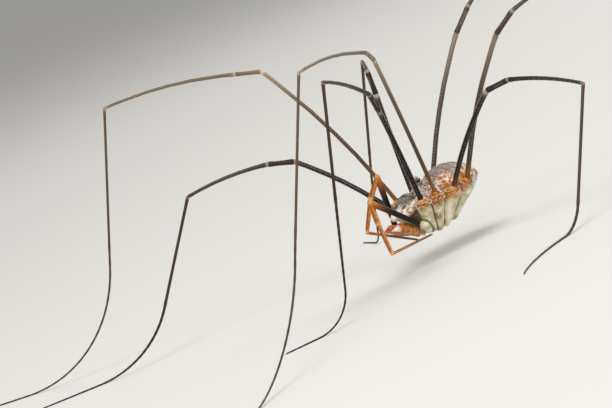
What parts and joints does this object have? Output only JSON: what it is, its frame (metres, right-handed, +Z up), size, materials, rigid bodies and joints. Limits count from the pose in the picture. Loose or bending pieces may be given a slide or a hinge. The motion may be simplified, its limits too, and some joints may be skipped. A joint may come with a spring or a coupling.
{
  "type": "harvestman",
  "caption": "Life-size male harvestman standing still on long thin bent legs, with a small oval body, horned jaws and slender palps.",
  "frame": {"origin": "centre of the whole animal's outline, on the floor under its feet", "axes": "+Z up from the floor, head towards -Y, the animal's left side towards +X"},
  "size_m": [0.0576, 0.0618, 0.016],
  "materials": {
    "carapace": "mottled pinkish grey cuticle with fine dark and pale specks, over cream coxae",
    "abdomen": "mottled grey brown back with orange and cream flanks and a pale belly",
    "eye": "glossy black",
    "chelicera": "shiny cream cuticle, grey on top",
    "amber_cuticle": "shiny orange brown cuticle, pale horn",
    "palp": "satin orange cuticle, black at the root",
    "dark_leg": "satin black cuticle with rows of pale denticles",
    "brown_leg": "satin grey brown cuticle, pale at the joints",
    "tarsus": "matt brown cuticle"
  },
  "bodies": {
    "root": {"abdomen": "abdomen", "cephalothorax": "carapace", "chelicera_left_base": "chelicera", "chelicera_left_hand": "amber_cuticle", "chelicera_right_base": "chelicera", "chelicera_right_hand": "amber_cuticle", "eye_left": "eye", "eye_right": "eye", "eye_tubercle": "carapace", "leg_1_left_femur": "dark_leg", "leg_1_left_metatarsus": "tarsus", "leg_1_left_patella": "brown_leg", "leg_1_left_tarsus": "tarsus", "leg_1_left_tibia": "brown_leg", "leg_1_right_femur": "dark_leg", "leg_1_right_metatarsus": "tarsus", "leg_1_right_patella": "brown_leg", "leg_1_right_tarsus": "tarsus", "leg_1_right_tibia": "brown_leg", "leg_2_left_femur": "brown_leg", "leg_2_left_metatarsus": "tarsus", "leg_2_left_patella": "brown_leg", "leg_2_left_tarsus": "tarsus", "leg_2_left_tibia": "brown_leg", "leg_2_right_femur": "brown_leg", "leg_2_right_metatarsus": "tarsus", "leg_2_right_patella": "brown_leg", "leg_2_right_tarsus": "tarsus", "leg_2_right_tibia": "brown_leg", "leg_3_left_femur": "dark_leg", "leg_3_left_metatarsus": "tarsus", "leg_3_left_patella": "brown_leg", "leg_3_left_tarsus": "tarsus", "leg_3_left_tibia": "brown_leg", "leg_3_right_femur": "dark_leg", "leg_3_right_metatarsus": "tarsus", "leg_3_right_patella": "brown_leg", "leg_3_right_tarsus": "tarsus", "leg_3_right_tibia": "brown_leg", "leg_4_left_femur": "brown_leg", "leg_4_left_metatarsus": "tarsus", "leg_4_left_patella": "brown_leg", "leg_4_left_tarsus": "tarsus", "leg_4_left_tibia": "brown_leg", "leg_4_right_femur": "brown_leg", "leg_4_right_metatarsus": "tarsus", "leg_4_right_patella": "brown_leg", "leg_4_right_tarsus": "tarsus", "leg_4_right_tibia": "brown_leg", "palp_left_femur": "palp", "palp_left_patella": "palp", "palp_left_tarsus": "palp", "palp_left_tibia": "palp", "palp_right_femur": "palp", "palp_right_patella": "palp", "palp_right_tarsus": "palp", "palp_right_tibia": "palp"}
  },
  "joints": []
}
